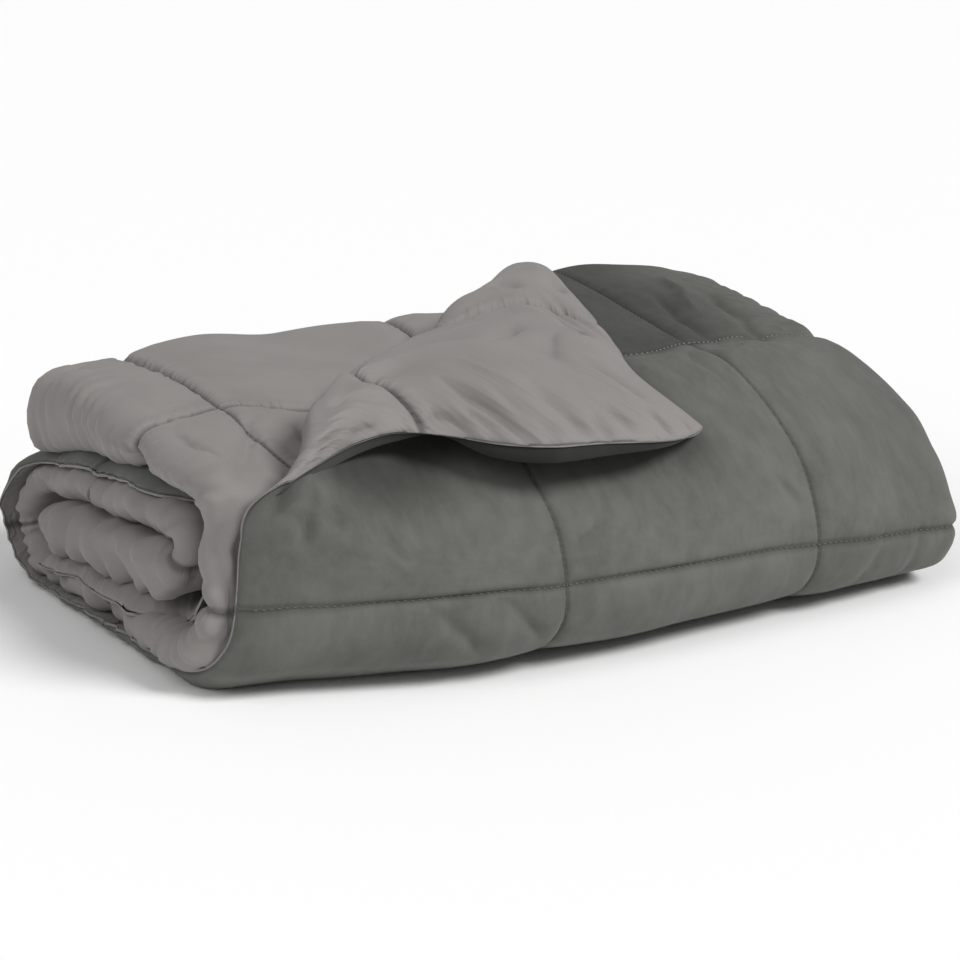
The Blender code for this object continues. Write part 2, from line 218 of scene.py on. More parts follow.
CREASE_SWAY, CREASE_SWAY_WAVE = 0.006, 0.04
CREASE_DEPTH = 2.3  # how much stronger than the heights below
CREASE_ROUND = 0.0024  # how blunt the bottom of a crease is
CREASE_RIM = 0.3  # the cloth beside a crease is pushed up this much
CREASE_TAPER = (-0.08, 0.30, 0.60, 1.08)
CREASES = (  # (face, from s, from v, to s, to v, half width, height)
    # the cotton of the flap
    (-1, 0.000, 0.198, 0.040, 0.236, 0.0042, -0.0072),
    (-1, 0.002, 0.218, 0.022, 0.238, 0.0032, -0.0056),
    (-1, 0.002, 0.178, 0.030, 0.205, 0.0040, -0.0040),
    (-1, 0.003, 0.150, 0.036, 0.176, 0.0040, -0.0066),
    (-1, 0.002, 0.134, 0.020, 0.140, 0.0030, -0.0046),
    (-1, 0.003, 0.106, 0.026, 0.114, 0.0036, -0.0054),
    (-1, 0.002, 0.072, 0.030, 0.070, 0.0036, -0.0056),
    (-1, 0.002, 0.040, 0.024, 0.034, 0.0030, -0.0040),
    (-1, 0.030, 0.060, 0.075, 0.075, 0.0060, -0.0040),
    (-1, 0.018, 0.268, 0.006, 0.238, 0.0040, -0.0100),
    (-1, 0.290, 0.050, 0.180, 0.022, 0.0056, -0.0044),
    (-1, 0.266, 0.058, 0.135, 0.020, 0.0060, -0.0044),
    (-1, 0.295, 0.036, 0.165, 0.007, 0.0052, -0.0036),
    (-1, 0.305, 0.030, 0.360, 0.010, 0.0045, -0.0046),
    (-1, 0.300, 0.060, 0.350, 0.090, 0.0060, -0.0036),
    (-1, 0.190, 0.090, 0.080, 0.160, 0.0120, -0.0046),
    (-1, 0.120, 0.060, 0.060, 0.120, 0.0090, -0.0036),
    (-1, 0.065, 0.330, 0.020, 0.296, 0.0060, -0.0050),
    (-1, 0.050, 0.392, 0.012, 0.352, 0.0046, -0.0050),
    (-1, 0.020, 0.392, 0.006, 0.364, 0.0040, -0.0030),
    (-1, 0.012, 0.345, 0.004, 0.310, 0.0036, -0.0036),
    # the cotton of the top level, by the left fold
    (-1, 1.340, 0.300, 1.430, 0.400, 0.0060, -0.0030),
    (-1, 1.300, 0.285, 1.330, 0.350, 0.0050, -0.0030),
    (-1, 1.440, 0.300, 1.420, 0.380, 0.0040, -0.0030),
    (-1, 1.395, 0.020, 1.440, 0.080, 0.0050, -0.0024),
    (-1, 1.446, 0.400, 1.440, 0.570, 0.0045, -0.0034),
    (-1, 1.428, 0.430, 1.436, 0.560, 0.0042, -0.0026),
    (-1, 1.414, 0.420, 1.420, 0.500, 0.0042, -0.0022),
    (-1, 1.390, 0.440, 1.440, 0.470, 0.0048, -0.0022),
    # the velvet at the right end and on the front
    (1, 0.660, 0.095, 0.630, 0.340, 0.0085, -0.0040),
    (1, 0.590, 0.120, 0.572, 0.290, 0.0080, -0.0036),
    (1, 0.640, 0.060, 0.600, 0.200, 0.0060, 0.0030),
    (1, 0.555, 0.300, 0.590, 0.345, 0.0045, -0.0030),
    (1, 0.560, 0.290, 0.640, 0.310, 0.0050, -0.0024),
    (1, 0.505, 0.330, 0.520, 0.390, 0.0045, -0.0026),
    (1, 0.054, 0.400, 0.043, 0.462, 0.0050, -0.0060),
    (1, 0.072, 0.405, 0.078, 0.445, 0.0045, -0.0040),
    (1, 0.118, 0.412, 0.130, 0.452, 0.0060, -0.0036),
    (1, 0.200, 0.512, 0.265, 0.548, 0.0060, -0.0022),
    (1, 0.150, 0.520, 0.215, 0.560, 0.0060, -0.0022),
    (1, 0.620, 0.500, 0.600, 0.560, 0.0050, -0.0009),
    (1, 0.668, 0.490, 0.660, 0.570, 0.0045, -0.0009),
    (1, 0.285, 0.480, 0.330, 0.430, 0.0060, -0.0022),
    (1, 0.530, 0.480, 0.495, 0.430, 0.0060, -0.0024),
)

PIECES = (  # (name, first and last stitch line across, first and last along)
    ("duvet_top", 0, 3, 0, 2),
    ("duvet_front", 0, 3, 2, 3),
    ("duvet_under", 0, 3, 3, 7),
    ("duvet_panel", 3, 8, 0, 2),
    ("duvet_core", 3, 8, 2, 7),
)
STEP_S = (  # grid spacing across: (from here on, spacing)
    (0.000, 0.0031), (0.690, 0.0026), (0.745, 0.014), (0.980, 0.0040), (1.080, 0.0033),
    (1.432, 0.0026), (1.475, 0.0045), (1.580, 0.018), (2.140, 0.009),
)
STEP_V = ((0.000, 0.0032), (0.640, 0.0084))
STEP_BESIDE, STEP_GROWTH = 0.0014, 0.35  # spacing on a stitch line, and its growth beside it


# ------------------------------------------------------------- small helpers
def smooth(value, low, high):
    """0 below low, 1 above high, an even S between."""
    t = np.clip((value - low) / (high - low), 0.0, 1.0)
    return t * t * (3.0 - 2.0 * t)


def window(value, low, full, fading, gone):
    """0 up to low, 1 from full to fading, and 0 again once gone."""
    return smooth(value, low, full) * (1.0 - smooth(value, fading, gone))


def bell(distance, spread):
    """1 in the middle, fading on all sides."""
    return np.exp(-(distance / spread) ** 2)


def table_value(table, place, column=1):
    """Smooth run through a short table whose first column is the place."""
    value = np.full(np.shape(place), table[-1][column], float)
    for here, after in reversed(list(zip(table, table[1:]))):
        share = smooth(place, here[0], after[0])
        run = here[column] + (after[column] - here[column]) * share
        value = np.where(place <= after[0], run, value)
    return value


def curve_value(table, place, column):
    """Even curve through the points of a short table whose first column is the place."""
    knots = np.array([row[0] for row in table])
    heights = np.array([row[column] for row in table])
    slopes = np.gradient(heights, knots)
    place = np.clip(place, knots[0], knots[-1])
    i = np.clip(np.searchsorted(knots, place) - 1, 0, len(knots) - 2)
    width = knots[i + 1] - knots[i]
    t = (place - knots[i]) / width
    rest = 1.0 - t
    return (heights[i] * (1.0 + 2.0 * t) * rest * rest + heights[i + 1] * (3.0 - 2.0 * t) * t * t
            + width * t * rest * (slopes[i] * rest - slopes[i + 1] * t))


def noise(x, y, seed):
    """Smooth uneven waves about one unit long, from about -1 to 1."""
    cells = 64
    turns = np.random.default_rng(seed).uniform(0.0, 2.0 * math.pi, (cells, cells))
    x0, y0 = np.floor(x), np.floor(y)
    total = 0.0
    for i in (0, 1):
        for j in (0, 1):
            angle = turns[(x0 + i).astype(int) % cells, (y0 + j).astype(int) % cells]
            dx, dy = x - x0 - i, y - y0 - j
            fade = (1.0 - smooth_step5(abs(dx))) * (1.0 - smooth_step5(abs(dy)))
            total = total + fade * (np.cos(angle) * dx + np.sin(angle) * dy)
    return 1.5 * total


def billow(x, y, seed):
    """Round bulges with sharp valleys between, from -0.4 to 0.6."""
    return np.minimum(1.0, 1.8 * abs(noise(x, y, seed))) - 0.4


def smooth_step5(t):
    """An S from 0 to 1 that starts and ends without a bend."""
    return t * t * t * (t * (6.0 * t - 15.0) + 10.0)


# ------------------------------------------------------------ the folds
def lay_runs():
    """Start of every run of the winding: place along v, y, z, heading, radius."""
    starts = []
    v, y, z, angle = 0.0, HEM_BACK, UNDER_TOP + 0.5 * LEVEL, 0.0
    for length, radius in RUNS:
        starts.append((v, y, z, angle, radius))
        v += length
        if radius is None:
            y -= length * math.cos(angle)
            z -= length * math.sin(angle)
        else:
            after = angle + length / radius
            y += radius * (math.sin(angle) - math.sin(after))
            z += radius * (math.cos(after) - math.cos(angle))
            angle = after
    return starts


STARTS = lay_runs()


def along_strip(cloth):
    """Length of cloth on the outer face, from the top hem -> place along the strip."""
    for (start, _, _, _, radius), (length, _) in zip(STARTS, RUNS):
        stretch = (radius + OUTER_FACE) / radius if radius else 1.0
        if cloth <= length * stretch:
            return start + cloth / stretch
        cloth -= length * stretch


SEAMS_S = [i * BOX_S for i in range(9)]
SEAMS_V = [along_strip(i * BOX_V) for i in range(8)]
STITCH, STITCH_THICK, STITCH_PITCH = 0.0036, 0.0006, 0.0062
STITCH_LIFT = 0.0012  # pulled tight, the thread lies just over the groove
UP_STEP = 0.001  # far enough apart to tell which way is up
TOP_LINE = ((0.330, SEAMS_V[1], 0.716, SEAMS_V[1]),)  # the velvet's upper stitch line
VELVET_LINES = (  # its others that show: (from s, from v, to s, to v)
    (0.010, SEAMS_V[2], 0.716, SEAMS_V[2]),
    (BOX_S, 0.260, BOX_S, 0.700), (2 * BOX_S, 0.020, 2 * BOX_S, 0.700),
)
COTTON_LINES = (  # and of the cotton
    (0.006, SEAMS_V[1], 0.190, SEAMS_V[1]), (BOX_S, 0.006, BOX_S, 0.205),
    (4 * BOX_S, 0.010, 4 * BOX_S, 0.220), (5 * BOX_S, 0.010, 5 * BOX_S, 0.440),
    (1.090, SEAMS_V[1], 1.450, SEAMS_V[1]),
)


def wind(v, n):
    """Place along the strip and height over its middle -> y, z."""
    y, z = np.zeros(v.shape), np.zeros(v.shape)
    for start, y0, z0, angle, radius in STARTS:
        d = v - start
        if radius is None:
            after = np.full(v.shape, angle)
            y1, z1 = y0 - d * math.cos(angle), z0 - d * math.sin(angle)
        else:
            after = angle + d / radius
            y1 = y0 + radius * (math.sin(angle) - np.sin(after))
            z1 = z0 + radius * (np.cos(after) - math.cos(angle))
        if start == STARTS[-1][0]:
            y1 = y1 + INNER_STRETCH * d
        here = (v >= start) | (start == 0.0)
        y = np.where(here, y1 - n * np.sin(after), y)
        z = np.where(here, z1 + n * np.cos(after), z)
    return y, z


def fold_in_three(s, w):
    """Place across the duvet, height over its middle -> x, height in the strip."""
    r = 0.5 * PLY_PITCH
    half = 0.5 * math.pi * r
    first, second = OUTER_WIDTH, LEFT_FOLD
    x = np.where(s < first, HEM_IN + s, np.where(s < second, second - s, s - second))
    n = np.where(s < first, PLY_PITCH + w, np.where(s < second, -w, w - PLY_PITCH))
    for edge, side, x_edge in ((first, 1.0, MIDDLE_WIDTH), (second, -1.0, 0.0)):
        d = s - edge
        a = 0.5 * math.pi + np.clip(d, -half, half) / r
        reach = r + side * w
        turning = abs(d) < half
        x = np.where(turning, x_edge - side * half + side * reach * np.sin(a), x)
        n = np.where(turning, side * r + reach * np.cos(a), n)
    return x, n


def past_crease(s, v):
    """How far a place of the outer ply lies beyond the crease of the flap."""
    hyp = math.hypot(CREASE_S, CREASE_V)
    return (1.0 - s / CREASE_S - v / CREASE_V) * CREASE_S * CREASE_V / hyp


def flap_share(s, v, low, high):
    """0 up to the crease of the flap, 1 well beyond it."""
    return smooth(past_crease(s, v), low, high) * (s < OUTER_WIDTH)


def turn_back(s, v, w):
    """Roll the corner of the outer ply over its crease."""
    hyp = math.hypot(CREASE_S, CREASE_V)
    ms, mv = -CREASE_V / hyp, -CREASE_S / hyp
    d = past_crease(s, v)
    turned = (d > 0.0) & (s < OUTER_WIDTH)
    foot_s, foot_v = s - d * ms, v - d * mv
    roll = ROLL_BACK + (ROLL_FRONT - ROLL_BACK) * np.clip(foot_v / CREASE_V, 0.0, 1.0)
    arc = HALF_TURN * roll
    a = np.clip(d / roll, 0.0, HALF_TURN)
    along = (roll - w) * np.sin(a)
    lift = roll - (roll - w) * np.cos(a)
    free = np.maximum(d - arc, 0.0)
    along = np.where(free > 0.0, -free, along)
    over_s = foot_s - FLAP_SKEW * free * mv + along * ms
    over_v = foot_v + FLAP_SKEW * free * ms + along * mv
    lift = lift + FLAP_LIFT * smooth(free, LIFT_FROM, LIFT_TO)
    return np.where(turned, over_s, s), np.where(turned, over_v, v), np.where(turned, lift, w)


def settle_flap(s, v, over_s, over_v):
    """Draw the back hem of the flap to where it lies."""
    hem_s, hem_v, _ = turn_back(s, np.zeros(s.shape), np.zeros(s.shape))
    felt = (1.0 - smooth(v, 0.0, BACK_HEM_FELT)) * flap_share(s, v, 0.0, CREASE_EASE)
    over_s = over_s + felt * (curve_value(BACK_HEM_LANDS, s, 1) - hem_s)
    over_v = over_v + felt * (curve_value(BACK_HEM_LANDS, s, 2) - hem_v)
    return over_s, over_v


def outer_hem(s, v):
    """How far the side hem stands out where it shows between two levels."""
    return -table_value(HEM_OUT, v) * bell(s, HEM_OUT_REACH)


def shoulder_sag(x, y, at_x, spread, depth, full, none):
    """How far the front shoulder sags at one place."""
    return depth * bell(x - at_x, spread) * (1.0 - smooth(y, full, none))


def sinking(x, y, z, v, away):
    """How far a place sinks, away being 1 at the left end and 0 at the right."""
    sunk = np.where(z < UNDER_TOP, z / UNDER_TOP,
                    1.0 - (1.0 - SINK_TOP) * (z - UNDER_TOP) / LEVEL)
    left = SINK * sunk * smooth(y, SINK_FROM, SINK_TO) * away ** 2
    sag = shoulder_sag(x, y, *HOLLOW) * smooth(v, *HOLLOW_V)
    for row in SAGS:
        sag = sag + shoulder_sag(x, y, *row)
    for at_x, at_y, spread, depth in DIPS:
        sag = sag + depth * bell(np.hypot(x - at_x, y - at_y), spread)
    corner = CORNER_DROOP * bell(np.maximum(x, 0.0), CORNER_X) * smooth(y, *CORNER_Y) * smooth(z, *CORNER_Z)
    return left + sag * np.clip(z / UNDER_TOP, 0.0, 1.0) ** 2 + corner


def uneven_end(z, v, away):
    """How far the left end stands in or out."""
    near, far = EDGE_POWERS
    left = table_value(LEFT_EDGE, v) * away ** (near + (far - near) * smooth(v, *EDGE_V))
    ruffle = RUFFLE * noise(v / RUFFLE_WAVE, z / RUFFLE_TALL, 71) * away ** 2
    fine = RUFFLE_FINE * billow(v / RUFFLE_FINE_WAVE, z / RUFFLE_FINE_TALL, 72) * away ** 6
    return left + table_value(RUFFLED, v) * (ruffle - fine)


def settle(x, y, z, v):
    """The slump of the whole bundle."""
    away = 1.0 - np.clip(x / MIDDLE_WIDTH, 0.0, 1.0)
    ahead = np.clip((FRONT_NONE - y) / (FRONT_NONE - FRONT_FULL), 0.0, 1.0)
    lean = table_value(FRONT, x, 2) * np.maximum(0.0, z - LEAN_LOW) ** 2
    front = lean - table_value(FRONT, x, 1) - table_value(FOOT, z)
    rise = BACK_RISE + DOME * bell(x - DOME_X, DOME_SPREAD)
    rise = 1.0 + rise * smooth(y, RISE_FROM, RISE_TO)
    rise *= 1.0 - END_DROOP * np.maximum(0.0, (x - DROOP_X) / DROOP_SPREAD) ** 2
    tilt = table_value(TILT_ALONG, y) * table_value(TILT_SHARE, z)
    tilt = (tilt - table_value(TILT_ALONG, y, 2) * table_value(TILT_SHARE, z, 2)) * away ** 3
    swell = END_SWELL * smooth(x, END_FROM, MIDDLE_WIDTH) * table_value(END_HEIGHT, z)
    return (x + uneven_end(z, v, away) + swell, y + front * ahead,
            z * rise - sinking(x, y, z, v, away) + tilt)


def drift(s, v):
    """The stitch lines of the outer cover drift along the strip."""
    across = np.clip(s, 0.0, OUTER_WIDTH)
    front = window(v, DRIFT_FROM, SEAMS_V[2], SEAMS_V[2], SEAMS_V[4])
    top = window(v, 0.0, SEAMS_V[1], SEAMS_V[1], SEAMS_V[2])
    panel = table_value(PANEL_DRIFT, s) * (s > PANEL_DRIFT[0][0]) * (s < LEFT_FOLD)
    return v + table_value(DRIFT, across) * front + (table_value(DRIFT, across, 2) + panel) * top


def fold(s, v, w):
    """Flat duvet -> folded and settled duvet."""
    s2, v2, w2 = turn_back(s, v, w)
    s2, v2 = settle_flap(s, v, s2, v2)
    x, n = fold_in_three(s2, w2)
    hang = smooth(v2, *HEM_DROOP_V) * bell(x, HEM_DROOP_SPREAD)
    n = n + HEM_DROOP * hang * smooth(n, -0.5 * PLY_PITCH, PLY_PITCH)
    x = x + outer_hem(s2, v2)
    y, z = wind(drift(s2, v2), n)
    return settle(x, y, z - (0.5 * LEVEL - OUTER_FACE), v2)


def drift_flap(s, v):
    """The stitch lines of the flap drift, and so does one of the panel's."""
    turned = flap_share(s, v, 0.0, DRIFT_EASE)
    shift = PANEL_SHIFT * (1.0 - smooth(v, 0.0, SHIFT_END)) * window(s, *SHIFT_WINDOW)
    over_s = s + turned * window(s, *DRIFT_WINDOW_S) * table_value(FLAP_DRIFT_S, v) + shift
    over_v = v + turned * window(v, *DRIFT_WINDOW_V) * table_value(FLAP_DRIFT_V, s)
    return over_s, over_v


def place(s, v, w):
    """Flat duvet -> folded duvet with its front hem drawn out, in the frame of the CAD."""
    s, v = drift_flap(s, v)
    tip = TIP_BLUNT * np.exp(-(np.maximum(s, 0.0) + np.maximum(v, 0.0)) / TIP_REACH)
    s, v = s + tip, v + tip
    x, y, z = fold(s, v, w)
    hem = fold(np.zeros(s.shape), v, np.zeros(s.shape))
    reach = np.clip(CREASE_S * (1.0 - v / CREASE_V), FRONT_HEM_LEAST, FRONT_HEM_FELT)
    felt = 1.0 - smooth(s / reach, 0.0, 1.0)
    felt = felt * smooth(past_crease(s, v), 0.0, HALF_TURN * ROLL_FRONT)
    x, y, z = (value + felt * (curve_value(FRONT_HEM, v, k + 1) - at)
               for k, (value, at) in enumerate(zip((x, y, z), hem)))
    return x - MIDDLE[0], y - MIDDLE[1], np.maximum(z, 0.0)


# ------------------------------------------------------------ puffed boxes
def nearest(value, lines):
    """Distance to the nearest of some lines."""
    return np.min([abs(value - line) for line in lines], axis=0)


def pillow(distance, side):
    """Share of the full height beside a stitch line."""
    wide = 1.0 - (1.0 - np.clip(distance / PILLOW, 0.0, 1.0)) ** PILLOW_POWER
    nip = 1.0 - (1.0 - np.clip(distance / NIP, 0.0, 1.0)) ** NIP_POWER
    share = NIP_SHARE_VELVET if side > 0 else NIP_SHARE_COTTON
    return share * nip + (1.0 - share) * wide


def hem_round(distance, reach):
    """Share of the full height beside a hem, blunt like a filled edge."""
    return np.sqrt(1.0 - (1.0 - np.clip(distance / reach, 0.0, 1.0)) ** 2)


def rim_distance(s, v):
    """Distance to the nearest hem."""
    return np.minimum(np.minimum(s, LENGTH - s), np.minimum(v, SEAMS_V[-1] - v))


def lies_over(s):
    """The place of the outer ply that lies over a place of the middle one."""
    return LEFT_FOLD - s - HEM_IN


def bare(s, v, side):
    """1 where nothing lies on this face, 0 where another ply does."""
    flap = flap_share(s, v, 0.0, BARE_EASE_FLAP)
    if side > 0:
        outside = (1.0 - smooth(s - OUTER_WIDTH, *RIGHT_EASE)) * (v < OUTSIDE_V)
        return np.maximum(outside, flap)
    panel = smooth(past_crease(lies_over(s), v), 0.0, BARE_EASE_PANEL) * (s > OUTER_WIDTH)
    edge = FOLD_FREE * left_fold(s) * (1.0 - window(v, *PACKED))
    return np.maximum(np.maximum(panel, flap), edge)


def left_fold(s):
    """1 on the folded edge at the left end, fading beside it."""
    return bell(s - LEFT_FOLD, GATHER_REACH)


def ridges(x, y, seed):
    """Narrow uneven ridges that run along y, about one unit apart."""
    return (1.0 - np.minimum(1.0, 2.6 * abs(noise(x, y, seed)))) ** 2 - 0.25


def pucker(beside, along, seed):
    """Small gathers that run square off a stitch line."""
    sway = 0.35 * noise(beside / 0.02, along / 0.03, seed + 3)
    height = ridges(along / PUCKER_WAVE + sway, beside / 0.07 + 7.3, seed)
    height = height + 0.5 * ridges(along / (0.55 * PUCKER_WAVE) + sway, beside / 0.03, seed + 1)
    patchy = np.clip(0.5 + 1.2 * noise(along / 0.06, beside / 0.2, seed + 2), 0.05, 1.2)
    return height * patchy * np.exp(-beside / PUCKER_REACH) * (1.0 - np.exp(-beside / 0.003))


def creases(s, v, side):
    """Creases placed one by one: ridges above nothing, troughs below."""
    s1 = s + CREASE_SWAY * noise(s / CREASE_SWAY_WAVE, v / CREASE_SWAY_WAVE, 91)
    v1 = v + CREASE_SWAY * noise(s / CREASE_SWAY_WAVE, v / CREASE_SWAY_WAVE, 92)
    total = np.zeros(s.shape)
    for face, from_s, from_v, to_s, to_v, width, height in CREASES:
        if face != side:
            continue
        ds, dv = to_s - from_s, to_v - from_v
        length = math.hypot(ds, dv)
        along = ((s1 - from_s) * ds + (v1 - from_v) * dv) / length ** 2
        beside = ((s1 - from_s) * dv - (v1 - from_v) * ds) / length
        off = np.hypot(beside, CREASE_ROUND) - CREASE_ROUND
        across = (1.0 + CREASE_RIM) * np.exp(-off / width) - CREASE_RIM * bell(beside, 3.0 * width)
        total = total + CREASE_DEPTH * height * window(along, *CREASE_TAPER) * across
    return total


def squeezed(s, v):
    """How much thinner the cloth is pressed round the crease of the flap."""
    reach = SQUEEZE_REACH * (1.0 + smooth(v, *SQUEEZE_WIDER))
    beside = past_crease(s, v) - 0.5 * HALF_TURN * ROLL_FRONT
    return SQUEEZE * bell(beside, reach) * (s < OUTER_WIDTH)


def gathers(s, v, side):
    """Upright gathers on the left fold, and the scalloped edge of the right one."""
    sway = GATHER_SWAY * noise(v / GATHER_SWAY_V, s / GATHER_SWAY_S, 33)
    sway = sway + GATHER_LEAN * (s - LEFT_FOLD) * (1.0 - smooth(v, *GATHER_LEAN_V))
    edge = left_fold(s) * table_value(GATHERED, v)
    height = GATHER * edge * billow(v / GATHER_WAVE + sway, s / GATHER_TALL, 31)
    if side > 0:
        right = bell(s - OUTER_WIDTH, SCALLOP_REACH) * (1.0 - smooth(v, *SCALLOP_V))
        height = height + SCALLOP * right * billow(v / SCALLOP_WAVE, s / SCALLOP_TALL, 37)
    return height


def half_thickness(s, v, side):
    """How far one face stands off the middle of the cloth."""
    beside_s, beside_v = nearest(s, SEAMS_S[1:-1]), nearest(v, SEAMS_V[1:-1])
    box_s, box_v = pillow(beside_s, side), pillow(beside_v, side)
    hem = hem_round(rim_distance(s, v), HEM_ROUND_VELVET if side > 0 else HEM_ROUND_COTTON)
    share = box_s * box_v * hem
    free = bare(s, v, side)
    low = 0.5 * PLY_SEAM + DRAWN * free * hem
    if side > 0:
        shallow = bell(v - SEAMS_V[1], SHALLOW_REACH) * smooth(s, *SHALLOW_S)
        low = low + SHALLOW * shallow * (s < OUTER_WIDTH)
    half = low + (0.5 * PLY_CROWN + FREE_CROWN * free - low) * share
    if side < 0:
        flap = flap_share(s, v, 0.0, CREASE_EASE)
        panel = smooth(free, FOLD_FREE, 1.0) * (1.0 - flap)
        half = half + (FLAP_PUFF * flap + PANEL_PUFF * panel) * share
    half = (half + creases(s, v, side)) * (1.0 - squeezed(s, v))
    seed, size = (11, PUCKER_VELVET) if side > 0 else (53, PUCKER_COTTON)
    half = half + size * (pucker(beside_s, v, seed) * box_v + pucker(beside_v, s, seed + 5) * box_s)
    half = half + gathers(s, v, side)
    half = half + ROLLING * share * noise(s / ROLLING_WAVE, v / ROLLING_WAVE, seed + 9)
    return np.hypot(np.maximum(half, 0.0), THINNEST)


def bend(s, v):
    """How far the whole cloth is pushed towards the velvet."""
    tuck = HEM_TUCK * np.exp(-s / HEM_REACH) * (1.0 - TUCK_BACK * smooth(v, *TUCK_BACK_V))
    drop = HEM_DROP * flap_share(s, v, HEM_DROP_EASE, CREASE_EASE) * np.exp(-v / HEM_DROP_REACH)
    over = lies_over(s)
    low = PANEL_SINK * smooth(over, *PANEL_SINK_S) * smooth(past_crease(over, v), 0.0, CREASE_EASE)
    low = (low + PANEL_LOW * window(over, *PANEL_LOW_S)) * (1.0 - smooth(v, *PANEL_V))
    return drop - tuck + low * (s > OUTER_WIDTH) * (s < LEFT_FOLD)


def edge_swell(s, v):
    """How far the velvet swells out past the front hem of the flap."""
    pinch = 1.0 - PINCH * bell(v - PINCH_V, PINCH_WIDTH)
    return EDGE_SWELL * pinch * window(v, *SWELL_V) * window(s, *SWELL_S)


def face_height(s, v, side):
    """Height of one face over the flat middle of the duvet."""
    return bend(s, v) + side * half_thickness(s, v, side)


# -------------------------------------------------------------- the pieces
def spacing(table, places):
    """The wanted grid spacing at each place."""
    value = np.full(places.shape, table[0][1])
    for start, step in table:
        value = np.where(places >= start, step, value)
    return value


def stations(seams, table):
    """Grid lines from the first seam to the last, each seam among them."""
    lines = [seams[0]]
    for low, high in zip(seams, seams[1:]):
        fine = np.linspace(low, high, 2001)
        beside = np.minimum(fine - low, high - fine)
        step = np.minimum(spacing(table, fine), STEP_BESIDE + STEP_GROWTH * beside)
        count = np.concatenate([[0.0], np.cumsum(np.diff(fine) / step[1:])])
        wanted = np.linspace(0.0, count[-1], max(2, math.ceil(count[-1])) + 1)
        lines += list(np.interp(wanted[1:], count, fine))
    return np.array(lines)


def edge_loop(rows, columns):
    """Grid points round the rim, in order, as flat numbers."""
    number = np.arange(rows * columns).reshape(rows, columns)
    return np.concatenate([number[0, :-1], number[:-1, -1], number[-1, :0:-1], number[:0:-1, 0]])


def cloth_mesh(name, s_lines, v_lines):
    """A closed filled cloth: two faces and a rounded rim, laid in its folds."""
    rows, columns = len(s_lines), len(v_lines)
    s, v = np.meshgrid(s_lines, v_lines, indexing="ij")
    s, v = s.ravel(), v.ravel()
    rim = edge_loop(rows, columns)
    velvet = np.stack(place(s - edge_swell(s, v), v, face_height(s, v, 1.0)), axis=1)
    cotton = np.stack(place(s, v, face_height(s, v, -1.0)), axis=1)
    hem_s = np.isclose(s[rim], 0.0) * -1.0 + np.isclose(s[rim], LENGTH) * 1.0
    hem_v = np.isclose(v[rim], 0.0) * -1.0 + np.isclose(v[rim], SEAMS_V[-1]) * 1.0
    out = 0.5 * PLY_SEAM
    middle = place(s[rim] + out * hem_s, v[rim] + out * hem_v, bend(s[rim], v[rim]))
    middle = np.stack(middle, axis=1)
    points = np.concatenate([velvet, cotton, middle])
    grid = np.arange(rows * columns).reshape(rows, columns)
    a, b = grid[:-1, :-1].ravel(), grid[1:, :-1].ravel()
    c, d = grid[1:, 1:].ravel(), grid[:-1, 1:].ravel()
    half = rows * columns
    faces_velvet = np.stack([a, d, c, b], axis=1)
    faces_cotton = np.stack([a, b, c, d], axis=1) + half
    after = np.roll(np.arange(len(rim)), -1)
    ring = 2 * half + np.arange(len(rim))
    faces_rim_top = np.stack([rim, rim[after], ring[after], ring], axis=1)
    faces_rim_low = np.stack([ring, ring[after], rim[after] + half, rim + half], axis=1)
    faces = np.concatenate([faces_velvet, faces_cotton, faces_rim_top, faces_rim_low])
    slots = np.zeros(len(faces), int)
    slots[len(faces_velvet):] = 1
    mesh = bpy.data.meshes.new(name)
    mesh.from_pydata(points.tolist(), [], faces.tolist())
    mesh.polygons.foreach_set("material_index", slots)
    mesh.polygons.foreach_set("use_smooth", np.ones(len(faces), bool))
    all_s, all_v = np.concatenate([s, s, s[rim]]), np.concatenate([v, v, v[rim]])
    add_map(mesh, "flat", np.stack([all_s, all_v], 1))
    add_map(mesh, "seam_s", np.stack([nearest(all_s, SEAMS_S[1:-1]), all_v], 1))
    add_map(mesh, "seam_v", np.stack([nearest(all_v, SEAMS_V[1:-1]), all_s], 1))
    mesh.validate()
    return mesh


def add_map(mesh, name, values):
    """Two lengths at every point, in metres, as a UV map."""
    layer = mesh.uv_layers.new(name=name)
    corners = np.zeros(len(mesh.loops), int)
    mesh.loops.foreach_get("vertex_index", corners)
    layer.data.foreach_set("uv", values[corners].astype(np.float32).ravel())


def make_piece(faces, name, first_s, last_s, first_v, last_v):
    """One stretch of the duvet, from stitch line to stitch line both ways."""
    s_lines = stations(SEAMS_S[first_s:last_s + 1], STEP_S)
    v_lines = stations(SEAMS_V[first_v:last_v + 1], STEP_V)
    mesh = cloth_mesh(name, s_lines, v_lines)
    for material in faces:
        mesh.materials.append(material)
    piece = bpy.data.objects.new(name, mesh)
    bpy.context.scene.collection.objects.link(piece)
    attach(piece, "root")
    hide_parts("duvet")


